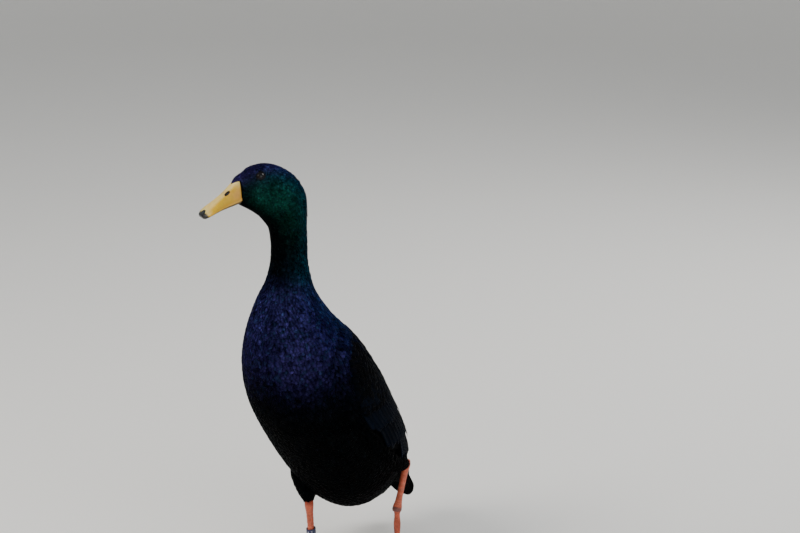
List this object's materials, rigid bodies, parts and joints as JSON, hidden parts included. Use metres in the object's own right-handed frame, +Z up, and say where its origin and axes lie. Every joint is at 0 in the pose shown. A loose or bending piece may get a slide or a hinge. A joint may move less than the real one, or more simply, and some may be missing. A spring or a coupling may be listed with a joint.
{
  "type": "indian runner duck",
  "caption": "Upright duck caught in mid stride, with long neck, turned head, flat bill, folded wings, short tail and webbed feet; a still life-size animal model that rests on its feet",
  "frame": {"origin": "on the floor, under the middle of the whole bird's box", "axes": "+Z is up, the body faces -Y, +X is the duck's left; the head is turned to the duck's right"},
  "size_m": [0.1572, 0.3268, 0.491],
  "materials": {
    "plumage": "soft satin, near black",
    "glossy_plumage": "satin with a green and violet sheen",
    "eye": "wet gloss",
    "bill": "satin yellow horn",
    "dark_horn": "satin dark horn",
    "nail": "gloss black horn",
    "leg_skin": "scaled skin, satin orange-red",
    "ring": "satin dark blue"
  },
  "bodies": {
    "root": {"torso": "plumage", "neck": "glossy_plumage", "head": "glossy_plumage", "eye_left": "eye", "eye_right": "eye", "bill_upper": "bill", "bill_lower": "dark_horn", "bill_nail": "nail", "tail": "plumage", "wing_left": "plumage", "wing_right": "plumage", "thigh_left": "plumage", "thigh_right": "plumage", "tarsus_left": "leg_skin", "tarsus_right": "leg_skin", "foot_left": "leg_skin", "foot_right": "leg_skin", "leg_ring": "ring"}
  },
  "joints": []
}
